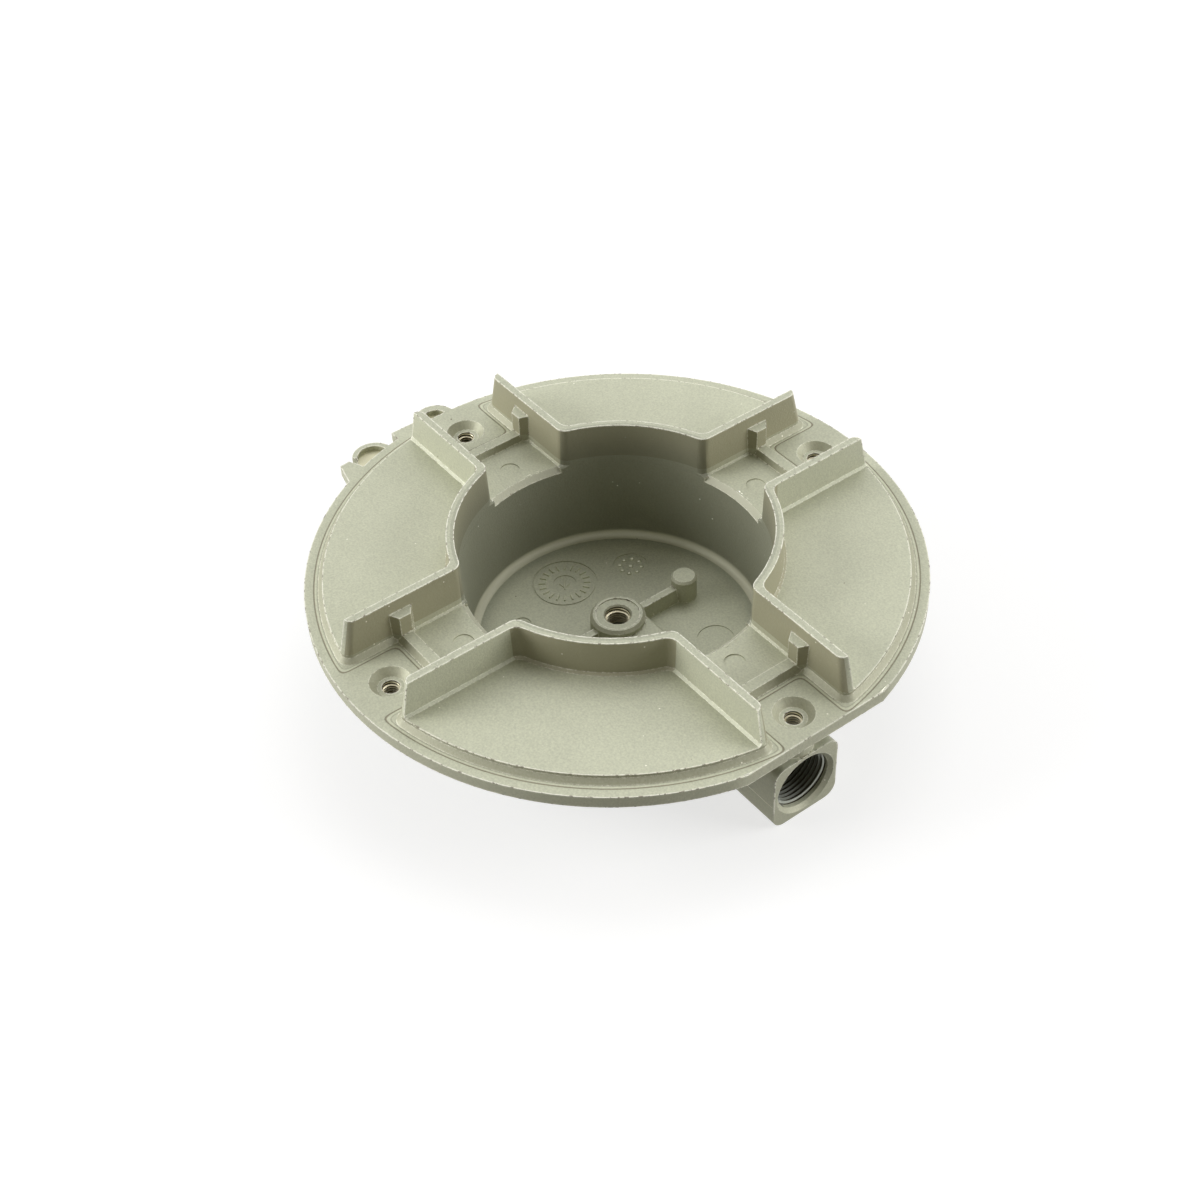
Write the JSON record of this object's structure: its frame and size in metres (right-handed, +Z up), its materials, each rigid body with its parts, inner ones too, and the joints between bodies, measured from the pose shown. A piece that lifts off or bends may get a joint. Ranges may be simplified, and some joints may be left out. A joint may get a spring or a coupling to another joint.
{
  "type": "gas hob burner cup",
  "caption": "Round die-cast gas burner cup with raised sectors, crossing air channels, a deep mixing cup with an injector boss, and a threaded gas inlet at the side.",
  "frame": {"origin": "middle of the underside on the burner axis, where the foot pad stands", "axes": "+Z up along the burner axis out of the cup, +X towards the gas inlet, the four air channels along +X, +Y, -X and -Y"},
  "size_m": [0.1421, 0.14, 0.0372],
  "materials": {
    "cast_aluminium": "as die cast, shot blasted to a fine satin grain"
  },
  "bodies": {
    "root": {"burner_cup": "cast_aluminium"}
  },
  "joints": []
}
